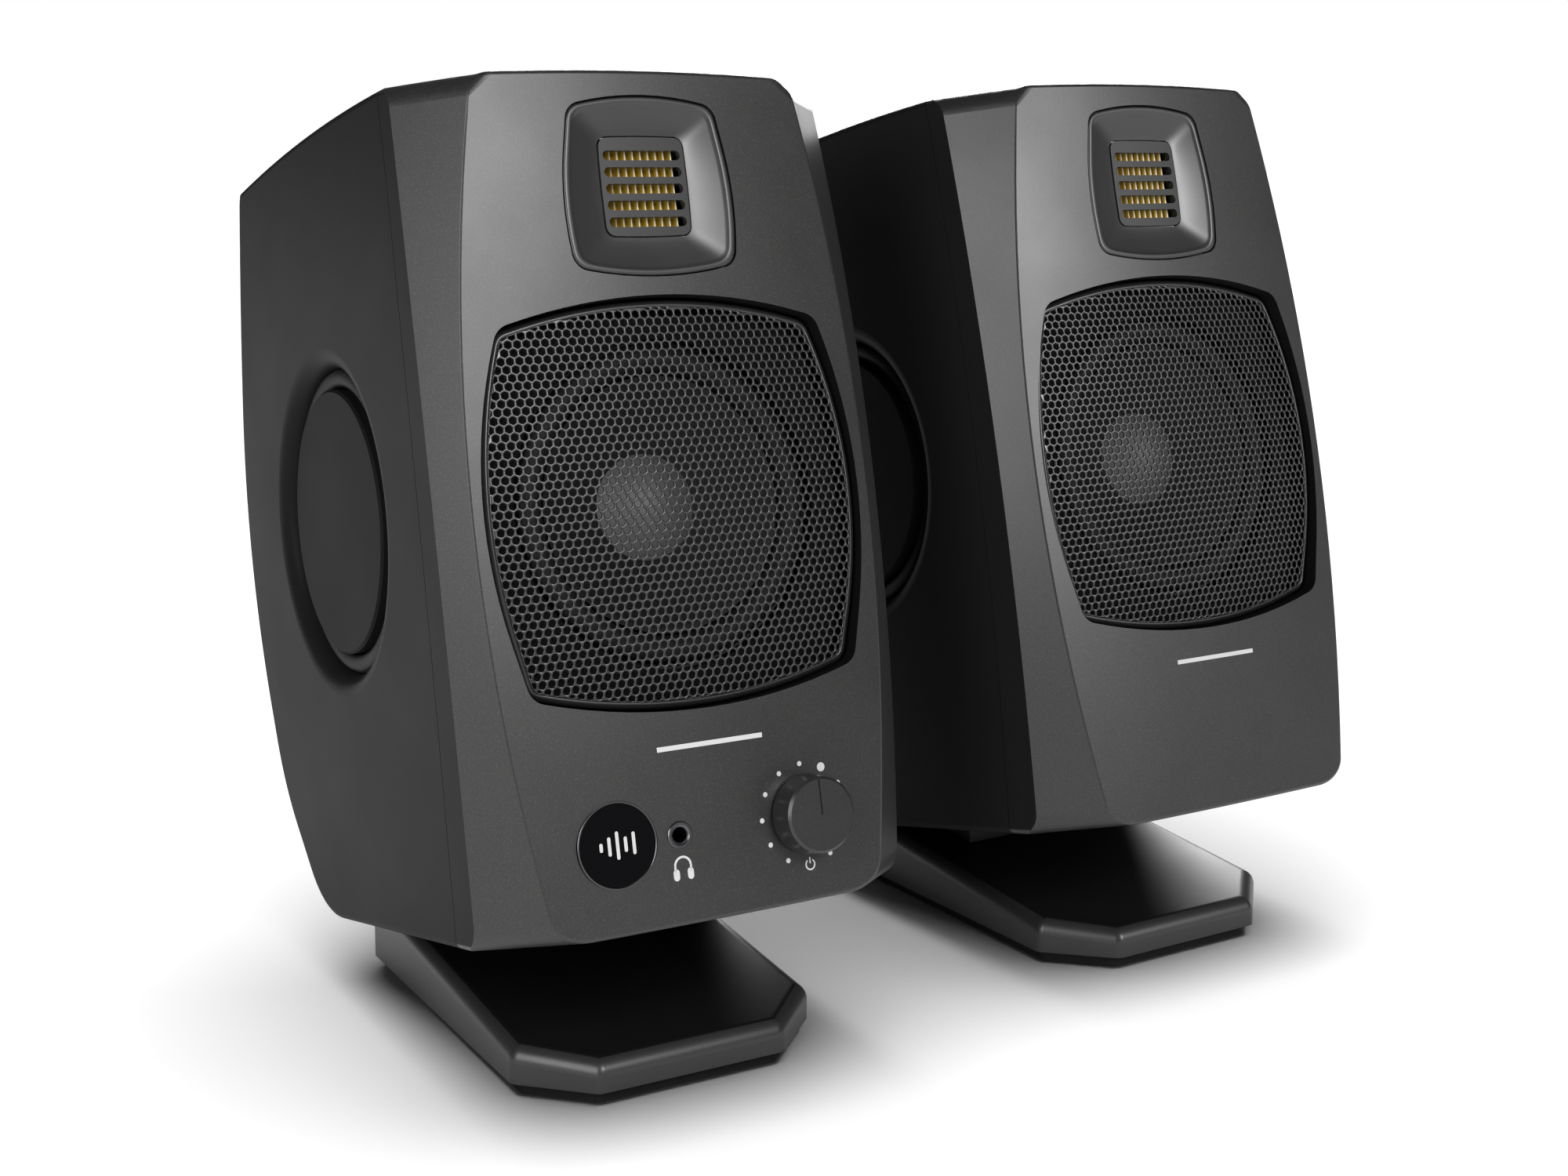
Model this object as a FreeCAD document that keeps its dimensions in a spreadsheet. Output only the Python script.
import FreeCAD, Part
import math
import os
import re

# A pair of desktop speakers: an active left cabinet and a passive right cabinet, each on a wedge
# stand that tilts it back.  Every cabinet part is built once in the cabinet frame (x to the right,
# y to the back, z up, origin at the bottom of the front face) and then placed in each speaker.

DIMENSIONS = [
    # cabinet form
    ("cabinet_half_width", 57.3),
    ("cabinet_depth", 160.8),
    ("cabinet_height", 200.8),
    ("roof_radius", 900),
    ("roof_crest_depth", 96),
    ("side_radius", 2300),
    ("belly_height", 105),
    ("front_radius", 600),
    ("bevel_radius", 756),
    ("bevel_reach", 48.6),
    ("bevel_height", 97),
    ("seam_radius", 667),
    ("seam_depth", 17.6),
    ("seam_height", 112),
    ("seam_gap", 0.25),
    ("wall", 3),
    ("edge_round", 2),
    ("bevel_round", 7),
    ("front_round", 1),
    ("facet_round", 0.8),
    # woofer opening and grille
    ("grille_top", 136.5),
    ("grille_bottom", 53.5),
    ("grille_top_half", 41),
    ("grille_bottom_half", 41.5),
    ("grille_recess", 8),
    ("grille_gap", 0.5),
    ("grille_sheet", 0.8),
    ("grille_dome", 420),
    ("mount_plate_depth", 12),
    ("woofer_height", 95),
    ("woofer_hole", 38.5),
    # tweeter
    ("bezel_top", 187.4),
    ("bezel_bottom", 149.3),
    ("bezel_top_half", 19),
    ("bezel_bottom_half", 20.8),
    ("bezel_recess", 4),
    ("bezel_gap", 0.3),
    ("slot_plate_front", 2.4),
    ("slot_plate_half", 10.9),
    ("slot_plate_top", 180.2),
    ("slot_plate_bottom", 157),
    ("slot_half_length", 10),
    ("slot_height", 2.3),
    ("slot_pitch", 3.94),
    ("slot_middle", 168.1),
    ("slot_count", 5),
    ("pleat_count", 10),
    ("pleat_pitch", 2.0),
    # passive radiators
    ("radiator_depth", 82),
    ("radiator_height", 101),
    ("radiator_hole", 38.3),
    ("radiator_lip", 5),
    ("radiator_disc", 33.1),
    ("radiator_face", 55.6),
    ("radiator_frame_face", 48),
    # front controls of the active speaker
    ("control_height", 20),
    ("display_x", -25.1),
    ("display_radius", 9.5),
    ("jack_x", -9.9),
    ("jack_ring", 3),
    ("jack_bore", 1.8),
    ("knob_x", 22.8),
    ("knob_radius", 8.7),
    ("knob_reach", 7.8),
    ("shaft_radius", 3),
    # rear panel
    ("panel_half", 36),
    ("panel_bottom", 34),
    ("panel_top", 150),
    ("panel_sheet", 2.2),
    ("panel_gap", 0.3),
    ("rim_depth", 140),
    # stand
    ("tilt", 12.94),
    ("cabinet_lift", 46.64),
    ("stand_half", 40),
    ("stand_front_half", 24.3),
    ("stand_front", 17),
    ("stand_shoulder", 32.5),
    ("stand_rear", 131),
    ("stand_front_top", 11),
    ("stand_slope", 0.093),
    ("stand_round", 4),
    ("sole_height", 3.6),
    ("sole_inset", 3.2),
    # places of the two speakers
    ("left_x", -78.41),
    ("left_y", -94.89),
    ("right_offset_x", 158.05),
    ("right_offset_y", 9.08),
    ("right_turn", 2.35),
]

doc = FreeCAD.newDocument("DesktopSpeakers")
sheet = doc.addObject("Spreadsheet::Sheet", "Dims")
for row, (alias, number) in enumerate(DIMENSIONS, start=1):
    sheet.set(f"A{row}", alias)
    sheet.set(f"B{row}", str(number))
    sheet.setAlias(f"B{row}", alias)
doc.recompute()

Vector = FreeCAD.Vector
UPRIGHT = FreeCAD.Rotation()
BACKWARD = FreeCAD.Rotation(Vector(1, 0, 0), -90)
RIGHTWARD = FreeCAD.Rotation(Vector(0, 1, 0), 90)
FLIPPED_BACKWARD = FreeCAD.Rotation(Vector(0, 1, 0), 180).multiply(BACKWARD)
FORWARD_START = -5
FAR = 300

# fasteners
HEAD_RADIUS = 2.2
HEAD_HEIGHT = 1.4
SHANK_RADIUS = 1.4
PILOT_RADIUS = 1.3
SEAT_RADIUS = 2.35
SEAT_DEPTH = 0.9
SCREW_SPOTS = ((-33.5, 37), (33.5, 37), (-33.5, 92), (33.5, 92), (-33.5, 147), (33.5, 147))
STAND_SCREW_Y = 99

# rear electronics
BOARD_SHEET = 1.6
SOCKET_START = 131
PANEL_DRILL_START = 140
PANEL_DRILL_LENGTH = 30
JACK_COLLAR = 6
POWER_COLLAR = 5
HOLE_PLAY = 0.1
LINE_INPUTS = ((-16, 62), (16, 62))
LINK = (18, 88)
USB = (-16, 88)
POWER = (0, 46)
SWITCH_X = (-14, 0, 14)
SWITCH_HEIGHT = 128


def dim(alias):
    """The number held by one cell of the sheet."""
    return float(sheet.get(alias))


def sized(formula):
    """A formula in sheet aliases, written the way the expression engine reads it."""
    return re.sub(r"\b[a-z][a-z_]+\b(?!\()", lambda found: "Dims." + found.group(0), str(formula))


# ---------------------------------------------------------------- building blocks


def primitive(kind, label, at=(0, 0, 0), turn=UPRIGHT, **sizes):
    """A Part primitive whose sizes and place follow the sheet."""
    item = doc.addObject("Part::" + kind, label)
    item.Placement = FreeCAD.Placement(Vector(0, 0, 0), turn)
    for axis, formula in zip("xyz", at):
        item.setExpression("Placement.Base." + axis, sized(formula))
    for name, formula in sizes.items():
        item.setExpression(name, sized(formula))
    return item


def rod(label, radius, x, z, start, length):
    """A cylinder that runs backward from the depth start."""
    return primitive("Cylinder", label, at=(x, start, z), turn=BACKWARD, Radius=radius, Height=length)


def side_rod(label, radius, y, z, start, length):
    """A cylinder that runs to the right from x = start."""
    return primitive("Cylinder", label, at=(start, y, z), turn=RIGHTWARD, Radius=radius, Height=length)


def block(label, x, y, z, length, width, height):
    """A box from its lowest corner and its three sizes."""
    return primitive("Box", label, at=(x, y, z), Length=length, Width=width, Height=height)


def fuse(label, *pieces):
    item = doc.addObject("Part::MultiFuse", label)
    item.Shapes = list(pieces)
    return item


def common(label, *pieces):
    item = doc.addObject("Part::MultiCommon", label)
    item.Shapes = list(pieces)
    return item


def cut(label, base, *tools):
    item = doc.addObject("Part::Cut", label)
    item.Base = base
    item.Tool = tools[0] if len(tools) == 1 else fuse(label + "_tools", *tools)
    return item


def single(label, source):
    """The one solid held in a combined shape, so that later cuts take it as a plain solid."""
    doc.recompute()
    item = doc.addObject("Part::Feature", label)
    item.Shape = source.Shape.Solids[0]
    return item


def mirrored(label, source):
    """The same piece on the other side of the cabinet's middle plane."""
    item = doc.addObject("Part::Mirroring", label)
    item.Source = source
    item.Normal = Vector(1, 0, 0)
    item.Base = Vector(0, 0, 0)
    return item


def group(label, *pieces):
    """Identical pieces that share one node."""
    item = doc.addObject("Part::Compound", label)
    item.Links = list(pieces)
    return item


def rounded_wire(corners, place):
    """A closed wire through (u, v, radius) corners; place turns (u, v) into a point.

    A radius of None spreads the round over most of both neighbouring sides.
    """
    points = [Vector(u, v, 0) for u, v, radius in corners]
    count = len(points)
    sides = [points[(index + 1) % count] - points[index] for index in range(count)]
    turns = [sides[index - 1].getAngle(sides[index]) for index in range(count)]
    reaches = [(radius or 0) * math.tan(turn / 2) for (u, v, radius), turn in zip(corners, turns)]
    starts = []
    ends = []
    middles = []
    for index, (u, v, radius) in enumerate(corners):
        reach = reaches[index]
        if radius is None:
            room = min(sides[index - 1].Length - reaches[index - 1],
                       sides[index].Length - reaches[(index + 1) % count])
            reach = 0.98 * room
            radius = reach / math.tan(turns[index] / 2)
        before = Vector(sides[index - 1]).negative().normalize()
        after = Vector(sides[index]).normalize()
        starts.append(points[index] + before * reach)
        ends.append(points[index] + after * reach)
        inward = (before + after).normalize()
        middles.append(points[index] + inward * (radius / math.cos(turns[index] / 2) - radius))
    edges = []
    for index in range(count):
        arc = [place(p.x, p.y) for p in (starts[index], middles[index], ends[index])]
        edges.append(Part.Arc(*arc).toShape())
        edges.append(Part.LineSegment(arc[2], place(*tuple(starts[(index + 1) % count])[:2])).toShape())
    return Part.Wire(edges)


def front_outline(depth):
    return lambda u, v: Vector(u, depth, v)


def side_outline(u, v):
    return Vector(0, u, v)


def floor_outline(height):
    return lambda u, v: Vector(u, v, height)


def outline(label, wire):
    """A flat face held in the document, ready to be extruded."""
    item = doc.addObject("Part::Feature", label)
    item.Shape = Part.Face(wire)
    return item


def extruded(label, source, direction, length, back="0"):
    """A face pushed along a direction by a length from the sheet."""
    item = doc.addObject("Part::Extrusion", label)
    item.Base = source
    item.DirMode = "Custom"
    item.Dir = direction
    item.Solid = True
    item.setExpression("LengthFwd", sized(length))
    item.setExpression("LengthRev", sized(back))
    return item


def plate(label, corners, start, length):
    """A plate with the given front view, from a depth backward by a length."""
    face = outline(label + "_face", rounded_wire(corners, front_outline(start)))
    return extruded(label, face, Vector(0, 1, 0), length)


def barrel_corners(top_half, top, bottom_half, bottom, crown, belly, bulge, corner, inset=0.0):
    """Eight corners of a rounded barrel: crowned top and bottom, bulging sides."""
    middle = (top_half + bottom_half) / 2 + 2 * bulge - inset
    top_half = top_half - inset
    bottom_half = bottom_half - inset
    top = top - inset
    bottom = bottom + inset
    return [
        (-top_half, top, corner),
        (0, top + 2 * crown, None),
        (top_half, top, corner),
        (middle, belly, None),
        (bottom_half, bottom, corner),
        (0, bottom - 2 * crown, None),
        (-bottom_half, bottom, corner),
        (-middle, belly, None),
    ]


def grille_corners(inset):
    return barrel_corners(
        dim("grille_top_half"), dim("grille_top"), dim("grille_bottom_half"), dim("grille_bottom"),
        crown=5.8, belly=100, bulge=5.9, corner=max(5 - inset, 2), inset=inset)


def bezel_corners(inset):
    return barrel_corners(
        dim("bezel_top_half"), dim("bezel_top"), dim("bezel_bottom_half"), dim("bezel_bottom"),
        crown=2.1, belly=165, bulge=1.5, corner=max(4.5 - inset, 2), inset=inset)


def slot_plate_corners(inset):
    half = dim("slot_plate_half")
    return barrel_corners(
        half, dim("slot_plate_top"), half, dim("slot_plate_bottom"),
        crown=0.2, belly=168.5, bulge=0.2, corner=2.2, inset=inset)


def turned(label, points, centre_height):
    """A solid of revolution about the front-to-back axis from (radius, depth) points."""
    ring = [Vector(radius, depth, centre_height) for radius, depth in points]
    profile = doc.addObject("Part::Feature", label + "_profile")
    profile.Shape = Part.Face(Part.makePolygon(ring + ring[:1]))
    item = doc.addObject("Part::Revolution", label)
    item.Source = profile
    item.Axis = Vector(0, 1, 0)
    item.Base = Vector(0, 0, centre_height)
    item.Angle = 360
    return item


# ---------------------------------------------------------------- cabinet form


def cabinet_form(label, inset):
    """The cabinet's outer skin moved inward by inset: profile, roof, sides, front and bevels."""
    depth = dim("cabinet_depth")
    height = dim("cabinet_height")
    profile = [
        (-30, inset, 2),
        (126 - inset * 0.6, inset, 25),
        (148.5 - inset * 0.8, 33 + inset * 0.6, 60),
        (depth - inset, 97, 220),
        (142.6 - inset, height - inset, max(8 - inset, 2)),
        (-30, height - inset, 2),
    ]
    side = extruded(label + "_side", outline(label + "_profile", rounded_wire(profile, side_outline)),
                    Vector(1, 0, 0), FAR, back=FAR)
    roof = primitive("Sphere", label + "_roof",
                     at=(0, "roof_crest_depth", "cabinet_height - roof_radius"), turn=BACKWARD,
                     Radius=f"roof_radius - {inset}")
    front = primitive("Cylinder", label + "_front", at=(0, "front_radius", -50),
                      Radius=f"front_radius - {inset}", Height=FAR)
    pieces = [side, roof, front]
    for name, sign, along in (("right", 1, FLIPPED_BACKWARD), ("left", -1, BACKWARD)):
        offset = f"{sign} * (cabinet_half_width - side_radius)"
        pieces.append(primitive("Cylinder", f"{label}_{name}", at=(offset, -50, "belly_height"),
                                turn=along, Radius=f"side_radius - {inset}", Height=FAR))
        reach = "(bevel_reach / 2 - bevel_radius / sqrt(2))"
        slide = "200 / sqrt(2)"
        turn = FreeCAD.Rotation(Vector(0, 0, 1), Vector(sign, 1, 0))
        at = (f"{sign} * ({reach} - {slide})", f"-1 * {reach} - {slide}", "bevel_height")
        pieces.append(primitive("Cylinder", f"{label}_bevel_{name}", at=at, turn=turn,
                                Radius=f"bevel_radius - {inset}", Height=2 * FAR))
    return single(label, common(label + "_common", *pieces))


def long_edges(shape, tests):
    """Numbers and radii of the edges that meet one of the (test, radius) rules."""
    found = []
    for number, edge in enumerate(shape.Edges, start=1):
        middle = edge.valueAt((edge.FirstParameter + edge.LastParameter) / 2)
        for test, radius in tests:
            if test(edge, middle):
                found.append((number, radius, radius))
                break
    return found


def softened_form():
    """The outer skin with its bevel, side and rear edges rounded."""
    form = cabinet_form("cabinet_skin", 0)
    doc.recompute()
    height = dim("cabinet_height")

    def bevel_end(edge, middle):
        return abs(middle.x) > 30 and middle.y < 20 and not 4 < middle.z < height - 14

    def side_line(edge, middle):
        return abs(middle.x) > 52 and middle.y > 22

    def front_line(edge, middle):
        return abs(middle.x) < 1 and middle.y < 2

    def facet_line(edge, middle):
        return 48 < abs(middle.x) < 54 and middle.y < 4 and edge.Length > 100

    rules = [
        (bevel_end, dim("bevel_round")),
        (side_line, dim("edge_round")),
        (front_line, dim("front_round")),
        (facet_line, dim("facet_round")),
    ]
    item = doc.addObject("Part::Fillet", "cabinet_softened")
    item.Base = form
    item.Edges = long_edges(form.Shape, rules)
    return single("cabinet_outer", item)


outer = softened_form()
inner = cabinet_form("cabinet_hollow", dim("wall"))


def seam_cylinder(label, gap):
    """Everything behind the joint between the front moulding and the rear shell."""
    return primitive("Cylinder", label, at=(-150, "seam_depth + seam_radius", "seam_height"),
                     turn=RIGHTWARD, Radius=f"seam_radius - {gap}", Height=FAR)


# ---------------------------------------------------------------- front moulding


def front_baffle():
    """The moulding that carries the woofer and the tweeter, with their seats and screw pilots."""
    skin = cut("baffle_skin", outer, seam_cylinder("seam_front", 0))
    walls = cut("baffle_walls", skin, inner)
    woofer_plate = plate("woofer_plate_block", grille_corners(-3), FORWARD_START, "mount_plate_depth + 5")
    tweeter_plate = plate("tweeter_plate_block", bezel_corners(-3), FORWARD_START, 13)
    plates = common("baffle_plates", fuse("plate_blocks", woofer_plate, tweeter_plate), skin)
    solid = fuse("baffle_solid", walls, plates)
    grille_seat = plate("grille_seat", grille_corners(0), FORWARD_START, "grille_recess + 5")
    woofer_bore = rod("woofer_bore", "woofer_hole", 0, "woofer_height", FORWARD_START, 40)
    bezel_seat = plate("bezel_seat", bezel_corners(0), FORWARD_START, "bezel_recess + 5")
    housing_hole = block("housing_hole", -15.3, FORWARD_START, 150.7, 30.6, 40, 34.6)
    pilots = []
    for index, (x, z) in enumerate(basket_spots()):
        pilots.append(rod(f"basket_pilot_{index}", PILOT_RADIUS, x, z, 9.4, 5))
    return cut("baffle_plain", solid, grille_seat, woofer_bore, bezel_seat, housing_hole, *pilots)


def controls_baffle(plain):
    """The active speaker's moulding, drilled for display, headphone jack and volume shaft."""
    window = rod("window_pocket", "display_radius + 0.2", "display_x", "control_height", FORWARD_START, 7.4)
    jack = rod("jack_hole", "jack_ring + 0.1", "jack_x", "control_height", FORWARD_START, 15)
    shaft = rod("shaft_hole", "shaft_radius + 0.4", "knob_x", "control_height", FORWARD_START, 15)
    return cut("baffle_drilled", plain, window, jack, shaft)


# ---------------------------------------------------------------- rear shell and panel


def rear_shell():
    """The hollow shell behind the front moulding, with panel rim, radiator bosses and stand boss."""
    skin = common("shell_skin", outer, seam_cylinder("seam_rear", "seam_gap"))
    walls = cut("shell_walls", skin, inner)
    rim = cut("panel_rim",
              block("rim_outside", "-panel_half - 4", "rim_depth", "panel_bottom - 4",
                    "2 * panel_half + 8", 40, "panel_top - panel_bottom + 8"),
              block("rim_inside", "-panel_half + 4", "rim_depth - 1", "panel_bottom + 4",
                    "2 * panel_half - 8", 42, "panel_top - panel_bottom - 8"))
    boss = side_rod("radiator_boss", "radiator_hole + 7", "radiator_depth", "radiator_height",
                    "radiator_frame_face", 20)
    foot = block("stand_boss", -14, 86, 1, 28, 26, 9)
    blocks = {"rim": rim, "boss": boss, "left_boss": mirrored("boss_left", boss), "foot": foot}
    extras = []
    for name, piece in blocks.items():
        extras.append(single(f"shell_{name}", common(f"shell_{name}_common", piece, skin)))
    solid = fuse("shell_solid", single("shell_walls_solid", walls), *extras)
    sheet_skin = cabinet_form("panel_back", dim("panel_sheet") + 0.3)
    opening = cut("panel_opening",
                  block("panel_window", "-panel_half - panel_gap", 120, "panel_bottom - panel_gap",
                        "2 * (panel_half + panel_gap)", 60, "panel_top - panel_bottom + 2 * panel_gap"),
                  sheet_skin)
    window = block("panel_through", "-panel_half + 4", 120, "panel_bottom + 4", "2 * panel_half - 8", 60,
                   "panel_top - panel_bottom - 8")
    pilots = []
    for index, (x, z) in enumerate(SCREW_SPOTS):
        pilots.append(rod(f"pilot_{index}", SHANK_RADIUS, x, z, 138, PANEL_DRILL_LENGTH))
    hole = side_rod("radiator_bore", "radiator_hole", "radiator_depth", "radiator_height", 30, 40)
    insert = primitive("Cylinder", "insert_hole", at=(0, STAND_SCREW_Y, -1), Radius=2.6, Height=9.5)
    holes = [opening, window, hole, mirrored("bore_left", hole), insert]
    drilled = cut("shell_drilled", solid, *holes, *pilots)
    doc.recompute()

    def lip(edge, middle):
        bore = dim("radiator_hole")
        ring = 2 * math.pi * bore
        return abs(edge.Length - ring) < 0.02 * ring and abs(edge.BoundBox.Center.x) > 55

    item = doc.addObject("Part::Fillet", "shell_soft")
    item.Base = drilled
    item.Edges = long_edges(drilled.Shape, [(lip, dim("radiator_lip"))])
    return item


def rear_panel(label, holes):
    """The curved rear panel, flush with the shell, pierced by its own holes."""
    behind = cabinet_form(label + "_back", dim("panel_sheet"))
    body = common(label + "_body", outer,
                  block(label + "_area", "-panel_half", 120, "panel_bottom", "2 * panel_half", 60,
                        "panel_top - panel_bottom"))
    return cut(label + "_drilled", cut(label + "_sheet", body, behind), *holes)


# ---------------------------------------------------------------- woofer


def woofer_grille():
    """A domed sheet with its edge bent back into the recess."""
    gap = dim("grille_gap")
    face = plate("grille_block", grille_corners(gap), 0, "grille_recess - 0.3")
    crest = (0, "grille_dome + 0.9", "woofer_height + 2")
    dome = primitive("Sphere", "grille_dome_out", at=crest, Radius="grille_dome")
    inside = primitive("Sphere", "grille_dome_in", at=crest, Radius="grille_dome - grille_sheet")
    hollow = plate("grille_inside", grille_corners(gap + dim("grille_sheet")), 0, "grille_recess")
    body = common("grille_body", face, dome)
    return cut("grille_shell", body, common("grille_hollow", hollow, inside))


def basket_spots():
    """Where the four basket screws stand, at the corners of the mounting plate."""
    circle = 45
    angles = [math.radians(45 + 90 * index) for index in range(4)]
    return [(circle * math.cos(angle), dim("woofer_height") + circle * math.sin(angle)) for angle in angles]


def woofer_basket():
    """The woofer's chassis: a flange on the moulding, a slanting wall and a ring on the magnet."""
    points = [(37, 12), (48, 12), (48, 13.6), (41.5, 13.8), (27, 32), (27, 34), (14, 34), (14, 32.6),
              (25.4, 32.4), (38.6, 14), (37, 13.6)]
    holes = []
    for index, (x, z) in enumerate(basket_spots()):
        holes.append(rod(f"basket_hole_{index}", SHANK_RADIUS, x, z, 10, 5))
    return cut("basket_drilled", turned("basket", points, dim("woofer_height")), *holes)


def woofer_magnet():
    points = [(0, 26), (11.7, 26), (11.7, 41), (13.5, 41), (13.5, 34.05), (26, 34.05), (26, 44.5),
              (24.5, 46), (0, 46)]
    return turned("magnet", points, dim("woofer_height"))


def arc_band(radius, crest, roll, thickness, sign):
    """Cross-section of a half-roll: (radius, depth) points of its outside and inside."""
    steps = 10
    outside = []
    inside = []
    for step in range(steps + 1):
        angle = math.pi * step / steps
        for size, points in ((roll, outside), (roll - thickness, inside)):
            points.append((radius - size * math.cos(angle), crest - sign * size * math.sin(angle)))
    return outside + inside[::-1]


def woofer_surround():
    return turned("surround", arc_band(33.95, 11.6, 3.35, 0.5, 1), dim("woofer_height"))


def woofer_cone():
    points = [(30.2, 10.9), (30.2, 11.7), (29.4, 11.9), (13.1, 21.2), (12.7, 21.2), (12.7, 20.4),
              (29, 11.2)]
    return turned("cone", points, dim("woofer_height"))


def woofer_dome():
    """The dust cap and the voice-coil former behind it, one moving piece."""
    cap = []
    steps = 8
    for step in range(steps + 1):
        share = step / steps
        cap.append((12.65 * share, 15.2 + 5.2 * share ** 2))
    points = cap + [(12.65, 37.4), (12.3, 37.4), (12.3, 20.9)]
    for step in range(steps, -1, -1):
        share = step / steps
        points.append((12.1 * share, 15.6 + 5.1 * share ** 2))
    return turned("dome", points, dim("woofer_height"))


# ---------------------------------------------------------------- tweeter


def tweeter_bezel():
    """A barrel-shaped frame whose inside falls away as a funnel to the slot plate."""
    gap = dim("bezel_gap")
    depth = dim("slot_plate_front")
    body = plate("bezel_block", bezel_corners(gap), 0.3, "bezel_recess - 0.3")
    funnel = doc.addObject("Part::Loft", "bezel_funnel")
    wide = doc.addObject("Part::Feature", "funnel_wide")
    wide.Shape = rounded_wire(bezel_corners(gap + 1.3), front_outline(0.25))
    narrow = doc.addObject("Part::Feature", "funnel_narrow")
    narrow.Shape = rounded_wire(slot_plate_corners(0), front_outline(depth))
    funnel.Sections = [wide, narrow]
    funnel.Solid = True
    funnel.Ruled = True
    opening = plate("bezel_opening", slot_plate_corners(0), depth - 0.2, 6)
    return cut("bezel_frame", body, funnel, opening)


def tweeter_slot_plate():
    """A thin plate with a stack of round-ended slots for the sound."""
    body = plate("slot_plate_block", slot_plate_corners(0.1), dim("slot_plate_front"), 1.6)
    slots = []
    straight = "(slot_half_length - slot_height / 2)"
    count = int(dim("slot_count"))
    for index in range(count):
        step = index - (count - 1) / 2
        height = f"slot_middle + {step} * slot_pitch"
        bar = block(f"slot_{index}", f"-1 * {straight}", 0, height + " - slot_height / 2",
                    f"2 * {straight}", 8, "slot_height")
        ends = []
        for name, sign in (("left", -1), ("right", 1)):
            side = f"{sign} * {straight}"
            ends.append(rod(f"slot_{index}_end_{name}", "slot_height / 2", side, height, 0, 8))
        slots.append(fuse(f"slot_{index}_round", bar, *ends))
    return cut("slot_plate", body, *slots)


def tweeter_membrane():
    """A thin foil folded into upright pleats."""
    pitch = dim("pleat_pitch")
    count = int(dim("pleat_count"))
    start = -pitch * count / 2
    front = []
    for index in range(2 * count + 1):
        front.append(Vector(start + index * pitch / 2, 5.0 if index % 2 else 7.0, dim("slot_plate_bottom")))
    back = [point + Vector(0, 0.25, 0) for point in reversed(front)]
    profile = doc.addObject("Part::Feature", "membrane_profile")
    profile.Shape = Part.Face(Part.makePolygon(front + back + front[:1]))
    return extruded("membrane_foil", profile, Vector(0, 0, 1), "slot_plate_top - slot_plate_bottom")


def tweeter_housing():
    """The tweeter's magnet block, with a pocket for the membrane."""
    body = block("housing_block", -15, 4, 151, 30, 26, 34)
    pocket = block("housing_pocket", -11, 3.9, "slot_plate_bottom", 22, 6,
                   "slot_plate_top - slot_plate_bottom")
    return cut("housing_body", body, pocket)


# ---------------------------------------------------------------- passive radiators


def side_turned(label, points):
    """A solid of revolution about a passive radiator's axis from (radius, x) points."""
    depth = dim("radiator_depth")
    height = dim("radiator_height")
    ring = [Vector(x, depth + radius, height) for radius, x in points]
    profile = doc.addObject("Part::Feature", label + "_profile")
    profile.Shape = Part.Face(Part.makePolygon(ring + ring[:1]))
    item = doc.addObject("Part::Revolution", label)
    item.Source = profile
    item.Axis = Vector(1, 0, 0)
    item.Base = Vector(0, depth, height)
    item.Angle = 360
    return item


def radiator_disc(label):
    face = dim("radiator_face")
    rim = dim("radiator_disc")
    points = [(0, face), (rim - 0.6, face), (rim, face - 0.6), (rim, face - 6.4), (14, face - 6.6),
              (13, face - 9), (0, face - 9)]
    return side_turned(label, points)


def radiator_surround(label):
    return side_turned(label, arc_band(35.75, 51.2, 2.25, 0.5, -1))


def radiator_frame(label):
    front = dim("radiator_frame_face")
    points = [(34.2, front), (37.2, front), (37.2, 51.2), (38.2, 51.2), (38.2, front), (44.5, front),
              (44.5, front - 2.5), (34.2, front - 2.5)]
    return side_turned(label, points)


# ---------------------------------------------------------------- front controls


def display_window():
    return rod("window_disc", "display_radius", "display_x", "control_height", 0.55, 1.75)


def headphone_jack():
    body = fuse("jack_body",
                rod("jack_collar", "jack_ring", "jack_x", "control_height", 0.2, 5),
                block("jack_block", "jack_x - 4.5", 4.6, "control_height - 4.5", 9, 8.4, 9))
    return cut("jack_socket", body, rod("jack_bore_tool", "jack_bore", "jack_x", "control_height", -1, 13))


def volume_knob():
    """A tapered grip with a chamfered face, a pointer groove and a bore for the shaft."""
    chamfer = 0.6
    grip = primitive("Cone", "knob_grip", at=("knob_x", f"{chamfer} - knob_reach", "control_height"),
                     turn=BACKWARD, Radius1="knob_radius", Radius2="knob_radius + 0.4",
                     Height="knob_reach - 1.3")
    cap = primitive("Cone", "knob_cap", at=("knob_x", "-knob_reach", "control_height"), turn=BACKWARD,
                    Radius1=f"knob_radius - {chamfer}", Radius2="knob_radius", Height=chamfer)
    pointer = block("knob_pointer", "knob_x - 0.2", "-knob_reach - 1", "control_height", 0.4, 1.35,
                    "knob_radius + 1")
    bore = rod("knob_bore", "shaft_radius", "knob_x", "control_height", -6, 8)
    return cut("knob_body", fuse("knob_solid", grip, cap), pointer, bore)


def encoder_shaft():
    return rod("shaft_rod", "shaft_radius", "knob_x", "control_height", -6, 15)


def encoder_body():
    return cut("encoder_solid",
               fuse("encoder_blocks",
                    block("encoder_block", "knob_x - 6.5", 6, "control_height - 6.5", 13, 7, 13),
                    rod("encoder_neck", "shaft_radius + 2", "knob_x", "control_height", 4.5, 2)),
               rod("encoder_bore", "shaft_radius + 0.05", "knob_x", "control_height", 4, 6.2))


def encoder_plunger():
    """The small disc behind the shaft that the knob presses in."""
    return rod("plunger_disc", "shaft_radius - 0.2", "knob_x", "control_height", 9, 0.6)


def control_board():
    return block("control_board_plate", -36, 13, 7, 72, BOARD_SHEET, 26)


# ---------------------------------------------------------------- rear electronics


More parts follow.
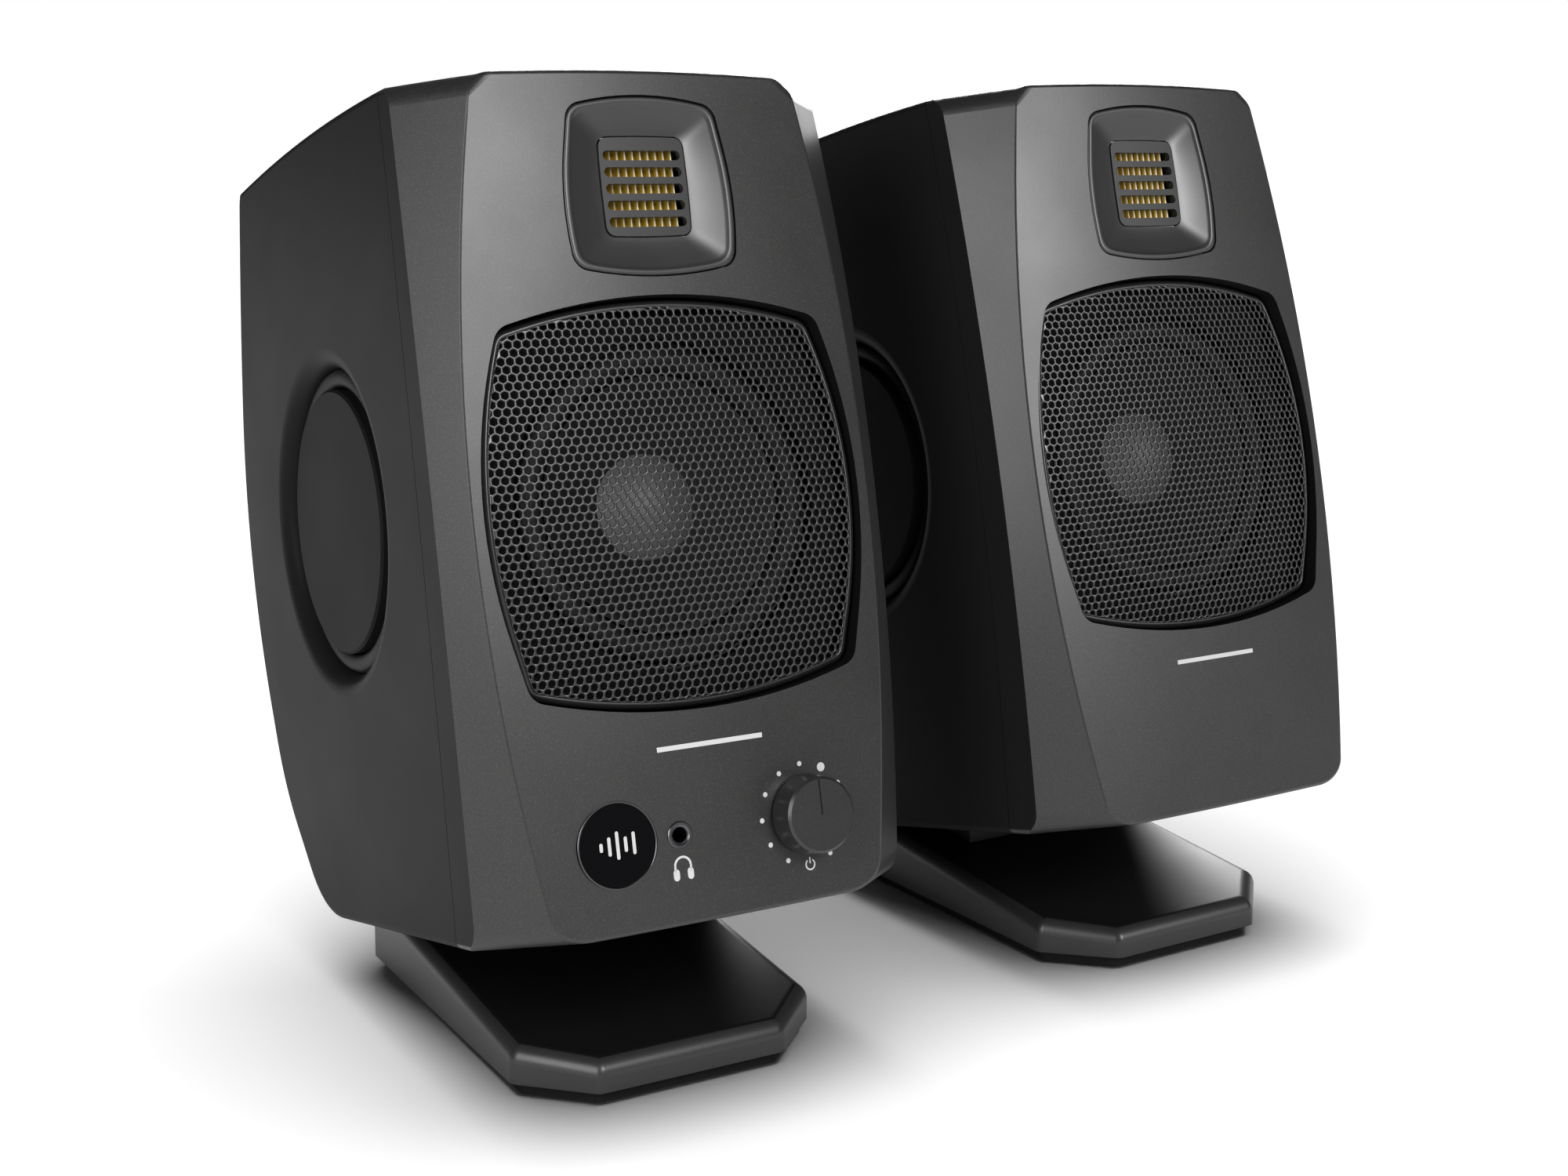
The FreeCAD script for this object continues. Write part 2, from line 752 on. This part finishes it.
def panel_hole(label, x, z, collar):
    """The round hole that a socket's collar needs in the panel."""
    return rod(label, collar + HOLE_PLAY, x, z, PANEL_DRILL_START, PANEL_DRILL_LENGTH)


def square_body(label, x, z, width, length):
    """A square socket body that stands on the amplifier board."""
    return block(label, x - width / 2, SOCKET_START, z - width / 2, width, length, width)


def line_input(index, x, z):
    body = fuse(f"line_body_{index}",
                rod(f"line_collar_{index}", JACK_COLLAR, x, z, 146, 10.2),
                square_body(f"line_block_{index}", x, z, 16, 15.4))
    return cut(f"line_socket_{index}", body, rod(f"line_bore_{index}", 3.2, x, z, 133, 30))


def link_socket():
    x, z = LINK
    body = fuse("link_solid", rod("link_collar", JACK_COLLAR, x, z, 146, 11.2),
                square_body("link_block", x, z, 15, 15.4))
    return cut("link_body", body, rod("link_bore", 4.5, x, z, 148, 20))


def power_socket():
    x, z = POWER
    body = fuse("power_solid", rod("power_collar", POWER_COLLAR, x, z, 144, 9.5),
                square_body("power_block", x, z, 11, 14))
    return cut("power_body", body, rod("power_bore", 2.8, x, z, 140, 20))


def usb_socket():
    x, z = USB
    body = block("usb_block", x - 4.6, SOCKET_START, z - 1.7, 9.2, 25, 3.4)
    return cut("usb_body", body, block("usb_slot", x - 4.1, 149, z - 1.2, 8.2, 10, 2.4))


def switch_track(label, x, start, length):
    """The straight slot that a switch slider runs in."""
    return block(label, x - 1.6, start, SWITCH_HEIGHT - 4.4, 3.2, length, 8.8)


def switch_case(index, x):
    body = block(f"switch_block_{index}", x - 3.5, SOCKET_START, SWITCH_HEIGHT - 6, 7, 17.5, 12)
    return cut(f"switch_case_{index}", body, switch_track(f"switch_track_{index}", x, 142, 8))


def active_panel_holes():
    """Everything the active speaker's panel is pierced for, apart from its screws."""
    holes = []
    for index, (x, z) in enumerate(LINE_INPUTS):
        holes.append(panel_hole(f"line_hole_{index}", x, z, JACK_COLLAR))
    holes.append(panel_hole("link_hole", *LINK, JACK_COLLAR))
    holes.append(panel_hole("power_hole", *POWER, POWER_COLLAR))
    x, z = USB
    holes.append(block("usb_hole", x - 4.7, PANEL_DRILL_START, z - 1.8, 9.4, PANEL_DRILL_LENGTH, 3.6))
    for index, x in enumerate(SWITCH_X):
        holes.append(switch_track(f"switch_hole_{index}", x, PANEL_DRILL_START, PANEL_DRILL_LENGTH))
    return holes


def switch_slider(index, x):
    """A thumb slider that stands at the middle of its track."""
    return fuse(f"slider_body_{index}",
                block(f"slider_base_{index}", x - 1.45, 142.3, SWITCH_HEIGHT - 2, 2.9, 4, 4),
                block(f"slider_tip_{index}", x - 1.1, 146, SWITCH_HEIGHT - 1.2, 2.2, 9.5, 2.4))


def amplifier_board():
    return block("amplifier_plate", -30, SOCKET_START - BOARD_SHEET, 40, 60, BOARD_SHEET, 100)


# ---------------------------------------------------------------- fasteners


def pan_screw(label, x, z, head_start):
    """A small cross-head screw whose head faces backward."""
    head = rod(label + "_head", HEAD_RADIUS, x, z, head_start, HEAD_HEIGHT)
    shank = rod(label + "_shank", SHANK_RADIUS, x, z, head_start - 4.5, 4.5)
    drive = fuse(label + "_drive",
                 block(label + "_bar", x - 1.3, head_start + 0.7, z - 0.25, 2.6, 1, 0.5),
                 block(label + "_stem", x - 0.25, head_start + 0.7, z - 1.3, 0.5, 1, 2.6))
    return cut(label, fuse(label + "_solid", head, shank), drive)


def screw_seats(prefix):
    """Clearance holes and head seats that the six panel screws need."""
    tools = []
    for index, (x, z) in enumerate(SCREW_SPOTS):
        tools.append(rod(f"{prefix}_screw_hole_{index}", 1.5, x, z, 130, 40))
        seat = panel_depth_at(z) - SEAT_DEPTH
        tools.append(rod(f"{prefix}_screw_seat_{index}", SEAT_RADIUS, x, z, seat, 10))
    return tools


def panel_depth_at(height):
    """Depth of the rear surface at a height, read from the finished skin."""
    probe = Part.makeLine(Vector(0, 120, height), Vector(0, 200, height))
    return probe.common(outer.Shape).BoundBox.YMax


def screws():
    """Six panel screws and the four screws that hold the woofer's basket."""
    pieces = []
    for index, (x, z) in enumerate(SCREW_SPOTS):
        pieces.append(pan_screw(f"panel_screw_{index}", x, z, panel_depth_at(z) - SEAT_DEPTH))
    for index, (x, z) in enumerate(basket_spots()):
        head = rod(f"woofer_screw_head_{index}", HEAD_RADIUS, x, z, 13.8, HEAD_HEIGHT)
        shank = rod(f"woofer_screw_shank_{index}", PILOT_RADIUS, x, z, 9.5, 4.5)
        pieces.append(fuse(f"woofer_screw_{index}", head, shank))
    return pieces


# ---------------------------------------------------------------- stand


def stand_corners(inset):
    half = dim("stand_half") - inset
    front_half = dim("stand_front_half") - 0.3 * inset
    front = dim("stand_front") + inset
    shoulder = dim("stand_shoulder") + 0.4 * inset
    rear = dim("stand_rear") - inset
    corner = 3
    return [
        (-front_half, front, corner),
        (front_half, front, corner),
        (half, shoulder, corner),
        (half, rear - 4, corner),
        (half - 4, rear, corner),
        (4 - half, rear, corner),
        (-half, rear - 4, corner),
        (-half, shoulder, corner),
    ]


def stand_body():
    """An eight-cornered wedge with a sloping, softly rounded top and a pad under the cabinet."""
    sole = dim("sole_height")
    plan = outline("stand_plan", rounded_wire(stand_corners(0), floor_outline(sole)))
    prism = extruded("stand_prism", plan, Vector(0, 0, 1), 40)
    slope = math.degrees(math.atan(dim("stand_slope")))
    above = primitive("Box", "stand_above", at=(-60, 0, "stand_front_top - stand_slope * stand_front"),
                      turn=FreeCAD.Rotation(Vector(1, 0, 0), slope), Length=120, Width=200, Height=60)
    wedge = cut("stand_wedge", prism, above)
    doc.recompute()
    floor = sole + 3.5

    def top_edge(edge, middle):
        return edge.BoundBox.ZMin > floor and edge.BoundBox.ZMax - edge.BoundBox.ZMin < 14

    soft = doc.addObject("Part::Fillet", "stand_soft")
    soft.Base = wedge
    soft.Edges = long_edges(wedge.Shape, [(top_edge, dim("stand_round"))])
    pad_block = block("pad_block", -24, 84, 12, 48, 25, 30)
    over = primitive("Box", "pad_over", at=(-60, 0, "cabinet_lift"),
                     turn=FreeCAD.Rotation(Vector(1, 0, 0), -dim("tilt")), Length=120, Width=200, Height=60)
    pad = cut("stand_pad", pad_block, over)
    body = fuse("stand_solid", soft, pad)
    return cut("stand_drilled", body, *stand_screw_tools())


def tilted_rod(label, radius, below, above):
    """A rod square to the cabinet's bottom through the stand screw's centre."""
    tilt = math.radians(dim("tilt"))
    centre_y = STAND_SCREW_Y * math.cos(tilt)
    centre_z = dim("cabinet_lift") - STAND_SCREW_Y * math.sin(tilt)
    turn = FreeCAD.Rotation(Vector(1, 0, 0), -dim("tilt"))
    at = (0, centre_y - below * math.sin(tilt), centre_z - below * math.cos(tilt))
    return primitive("Cylinder", label, at=at, turn=turn, Radius=radius, Height=below + above)


def stand_screw_tools():
    """The screw's clearance hole and the recess that takes its head from below."""
    clearance = tilted_rod("screw_clearance", 2.7, 40, 10)
    recess = tilted_rod("screw_recess", 5.5, 40, -12)
    return [clearance, recess]


def stand_screw():
    """The socket-head screw that joins the stand to the cabinet."""
    shank = tilted_rod("stand_screw_shank", 2.5, 12, 7)
    head = tilted_rod("stand_screw_head", 4.9, 15.4, -12)
    socket = tilted_rod("stand_screw_socket", 2.1, 16, -13.4)
    return cut("stand_screw_body", fuse("stand_screw_solid", shank, head), socket)


def stand_sole():
    """The rubber sole, with the opening that lets a key reach the screw."""
    plan = outline("sole_plan", rounded_wire(stand_corners(dim("sole_inset")), floor_outline(0)))
    slab = extruded("sole_slab", plan, Vector(0, 0, 1), "sole_height")
    hole = tilted_rod("sole_hole", 5.5, 40, 10)
    return cut("sole_body", slab, hole)


# ---------------------------------------------------------------- the two speakers

YAW = {"left": 0.0, "right": dim("right_turn")}
SPOT = {
    "left": Vector(dim("left_x"), dim("left_y"), 0),
    "right": Vector(dim("left_x") + dim("right_offset_x"), dim("left_y") + dim("right_offset_y"), 0),
}


def standing_place(side):
    """Where a stand piece goes: turned on the desk, not tilted."""
    return FreeCAD.Placement(SPOT[side], FreeCAD.Rotation(Vector(0, 0, 1), YAW[side]))


def cabinet_place(side):
    """Where a cabinet piece goes: lifted and tilted back on its stand."""
    leaning = FreeCAD.Rotation(Vector(1, 0, 0), -dim("tilt"))
    lifted = FreeCAD.Placement(Vector(0, 0, dim("cabinet_lift")), leaning)
    return standing_place(side).multiply(lifted)


nodes = []


def place(side, name, source, standing=False):
    """One named sub-part of one speaker."""
    item = group(f"{side}_{name}", source)
    item.Label = f"{side}_{name}"
    item.Placement = standing_place(side) if standing else cabinet_place(side)
    nodes.append(item)


def common_parts():
    """Pieces that both speakers hold, by name."""
    disc = radiator_disc("disc_right")
    surround = radiator_surround("side_roll_right")
    frame = radiator_frame("side_frame_right")
    return {
        "rear_shell": rear_shell(),
        "woofer_grille": woofer_grille(),
        "woofer_basket": woofer_basket(),
        "woofer_magnet": woofer_magnet(),
        "woofer_surround": woofer_surround(),
        "woofer_cone": woofer_cone(),
        "woofer_dome": woofer_dome(),
        "tweeter_bezel": tweeter_bezel(),
        "tweeter_slot_plate": tweeter_slot_plate(),
        "tweeter_membrane": tweeter_membrane(),
        "tweeter_housing": tweeter_housing(),
        "radiator_disc_a": mirrored("disc_left", disc),
        "radiator_disc_b": disc,
        "radiator_surrounds": group("side_rolls", surround, mirrored("side_roll_left", surround)),
        "radiator_frames": group("side_frames", frame, mirrored("side_frame_left", frame)),
    }


plain_baffle = front_baffle()
shared = common_parts()
stand = {"stand": stand_body(), "stand_sole": stand_sole(), "stand_screw": stand_screw()}
doc.recompute()
fasteners = screws()

link = link_socket()
line_inputs = [line_input(index, x, z) for index, (x, z) in enumerate(LINE_INPUTS)]
switch_cases = [switch_case(index, x) for index, x in enumerate(SWITCH_X)]
passive_link = panel_hole("passive_link_hole", *LINK, JACK_COLLAR)
active_only = {
    "front_baffle": controls_baffle(plain_baffle),
    "rear_panel": rear_panel("active_panel", active_panel_holes() + screw_seats("active")),
    "display_window": display_window(),
    "headphone_jack": headphone_jack(),
    "volume_knob": volume_knob(),
    "encoder_shaft": encoder_shaft(),
    "encoder_body": encoder_body(),
    "encoder_plunger": encoder_plunger(),
    "control_board": control_board(),
    "amplifier_board": amplifier_board(),
    "line_inputs": group("line_input_pair", *line_inputs),
    "usb_socket": usb_socket(),
    "power_socket": power_socket(),
    "link_socket": link,
    "switch_cases": group("switch_case_row", *switch_cases),
}
for index, x in enumerate(SWITCH_X):
    active_only[f"switch_slider_{'abc'[index]}"] = switch_slider(index, x)
passive_only = {
    "front_baffle": plain_baffle,
    "rear_panel": rear_panel("passive_panel", [passive_link] + screw_seats("passive")),
    "link_socket": link,
}

for side, own in (("left", active_only), ("right", passive_only)):
    for name, source in {**shared, **own}.items():
        place(side, name, source)
    place(side, "screws", group(f"{side}_screw_set", *fasteners))
    for name, source in stand.items():
        place(side, name, source, standing=True)

doc.recompute()

# ---------------------------------------------------------------- checks and files

for item in doc.Objects:
    if "Invalid" in item.State or "Error" in item.State:
        raise RuntimeError(f"{item.Label} did not build: {item.State}")

os.makedirs("parts", exist_ok=True)
for item in nodes:
    shape = item.Shape
    if shape.isNull() or not shape.isValid():
        raise RuntimeError(f"{item.Label} has no valid shape")
    print(f"{item.Label:28s} solids {len(shape.Solids)} volume {shape.Volume:10.1f}")
    shape.exportStep(f"parts/{item.Label}.step")
print("nodes", len(nodes))
